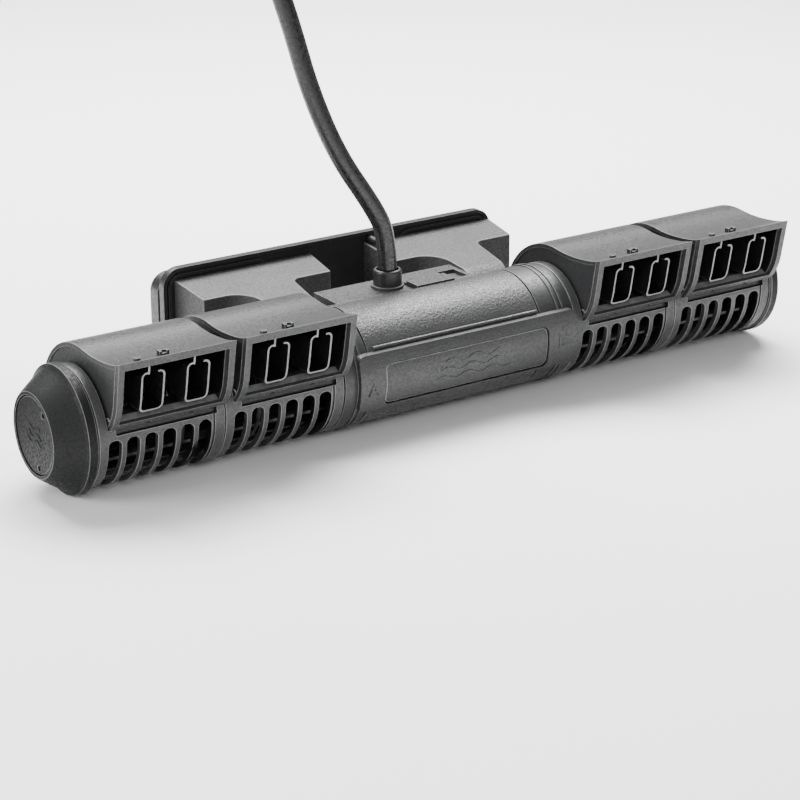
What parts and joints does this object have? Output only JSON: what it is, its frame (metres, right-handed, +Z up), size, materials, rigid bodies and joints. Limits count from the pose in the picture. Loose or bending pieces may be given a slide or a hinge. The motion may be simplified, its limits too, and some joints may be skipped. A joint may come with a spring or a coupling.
{
  "type": "wave maker pump",
  "caption": "Horizontal tube pump with a central motor, cross-flow rotors in slotted cages with outlet scoops, a magnetic glass mount and a coiled cable.",
  "frame": {"origin": "centre of the footprint, on the surface that the end rings and the mounting plate stand on", "axes": "+X along the tube, -Y out of the outlets, +Z up"},
  "size_m": [0.42, 0.1972, 0.2275],
  "materials": {
    "cage_plastic": "fine grained satin charcoal",
    "bezel_plastic": "satin dark grey",
    "grille_plastic": "satin dark grey",
    "sleeve_plastic": "coarse spark-eroded grain",
    "housing_plastic": "satin charcoal",
    "band_plastic": "fine satin charcoal",
    "cap_plastic": "fine grained charcoal",
    "well_plastic": "smooth black",
    "rotor_plastic": "smooth black",
    "plate_plastic": "satin black",
    "plug_plastic": "satin black",
    "arm_rubber": "fine grained matt",
    "gland_rubber": "semi-matt black",
    "cable_rubber": "semi-gloss black",
    "tie_rubber": "matt black",
    "bush_rubber": "matt black",
    "pad_rubber": "matt black foam rubber",
    "core_steel": "laminated, varnished",
    "winding_copper": "enamelled winding wire",
    "magnet_ferrite": "ground dark grey",
    "shaft_ceramic": "polished white"
  },
  "bodies": {
    "pump_body": {"cable": "cable_rubber", "cable_coil": "cable_rubber", "cable_gland": "gland_rubber", "cable_tail": "cable_rubber", "cable_tie": "tie_rubber", "front_band": "band_plastic", "gland_flange": "housing_plastic", "housing_collar_left": "housing_plastic", "housing_collar_right": "housing_plastic", "inner_bush_left": "bush_rubber", "inner_bush_right": "bush_rubber", "label_panel": "band_plastic", "motor_housing": "sleeve_plastic", "mount_arm_left": "arm_rubber", "mount_arm_right": "arm_rubber", "plug": "plug_plastic", "rotor_well_left": "well_plastic", "rotor_well_right": "well_plastic", "stator_coils_left": "winding_copper", "stator_coils_right": "winding_copper", "stator_core_left": "core_steel", "stator_core_right": "core_steel", "wet_magnets": "magnet_ferrite", "wet_pad": "pad_rubber", "wet_plate": "plate_plastic"},
    "cage_1": {"flow_director_1": "cage_plastic", "intake_grille_1": "grille_plastic", "outlet_bezel_1": "bezel_plastic", "outlet_vanes_1": "bezel_plastic"},
    "cage_2": {"flow_director_2": "cage_plastic", "intake_grille_2": "grille_plastic", "outlet_bezel_2": "bezel_plastic", "outlet_vanes_2": "bezel_plastic"},
    "cage_3": {"flow_director_3": "cage_plastic", "intake_grille_3": "grille_plastic", "outlet_bezel_3": "bezel_plastic", "outlet_vanes_3": "bezel_plastic"},
    "cage_4": {"flow_director_4": "cage_plastic", "intake_grille_4": "grille_plastic", "outlet_bezel_4": "bezel_plastic", "outlet_vanes_4": "bezel_plastic"},
    "rotor_left": {"rotor_blades_left": "rotor_plastic", "rotor_magnet_left": "magnet_ferrite", "rotor_shaft_left": "shaft_ceramic"},
    "cap_left": {"cap_bush_left": "bush_rubber", "cap_disc_left": "cap_plastic", "end_cap_left": "cap_plastic"},
    "rotor_right": {"rotor_blades_right": "rotor_plastic", "rotor_magnet_right": "magnet_ferrite", "rotor_shaft_right": "shaft_ceramic"},
    "cap_right": {"cap_bush_right": "bush_rubber", "cap_disc_right": "cap_plastic", "end_cap_right": "cap_plastic"},
    "dry_side": {"dry_magnets": "magnet_ferrite", "dry_pad": "pad_rubber", "dry_shell": "plate_plastic"}
  },
  "joints": [
    {"name": "cage_1_swivel", "type": "hinge", "parent": "pump_body", "child": "cage_1", "pos_m": [-0.12919, -0.0316, 0.025], "axis": [1, 0, 0], "range_deg": [-20, 20]},
    {"name": "cage_2_swivel", "type": "hinge", "parent": "pump_body", "child": "cage_2", "pos_m": [-0.07632, -0.0316, 0.025], "axis": [1, 0, 0], "range_deg": [-20, 20]},
    {"name": "cage_3_swivel", "type": "hinge", "parent": "pump_body", "child": "cage_3", "pos_m": [0.08876, -0.0316, 0.025], "axis": [1, 0, 0], "range_deg": [-20, 20]},
    {"name": "cage_4_swivel", "type": "hinge", "parent": "pump_body", "child": "cage_4", "pos_m": [0.14163, -0.0316, 0.025], "axis": [1, 0, 0], "range_deg": [-20, 20]},
    {"name": "rotor_left_spin", "type": "hinge", "parent": "pump_body", "child": "rotor_left", "pos_m": [-0.10376, -0.0316, 0.025], "axis": [1, 0, 0], "continuous": true},
    {"name": "rotor_right_spin", "type": "hinge", "parent": "pump_body", "child": "rotor_right", "pos_m": [0.11624, -0.0316, 0.025], "axis": [1, 0, 0], "continuous": true},
    {"name": "cap_left_pull", "type": "slide", "parent": "pump_body", "child": "cap_left", "axis": [-1, 0, 0], "range_m": [0, 0.025]},
    {"name": "cap_right_pull", "type": "slide", "parent": "pump_body", "child": "cap_right", "axis": [1, 0, 0], "range_m": [0, 0.025]},
    {"name": "dry_side_pull", "type": "slide", "parent": "pump_body", "child": "dry_side", "axis": [0, 1, 0], "range_m": [0, 0.03]}
  ]
}
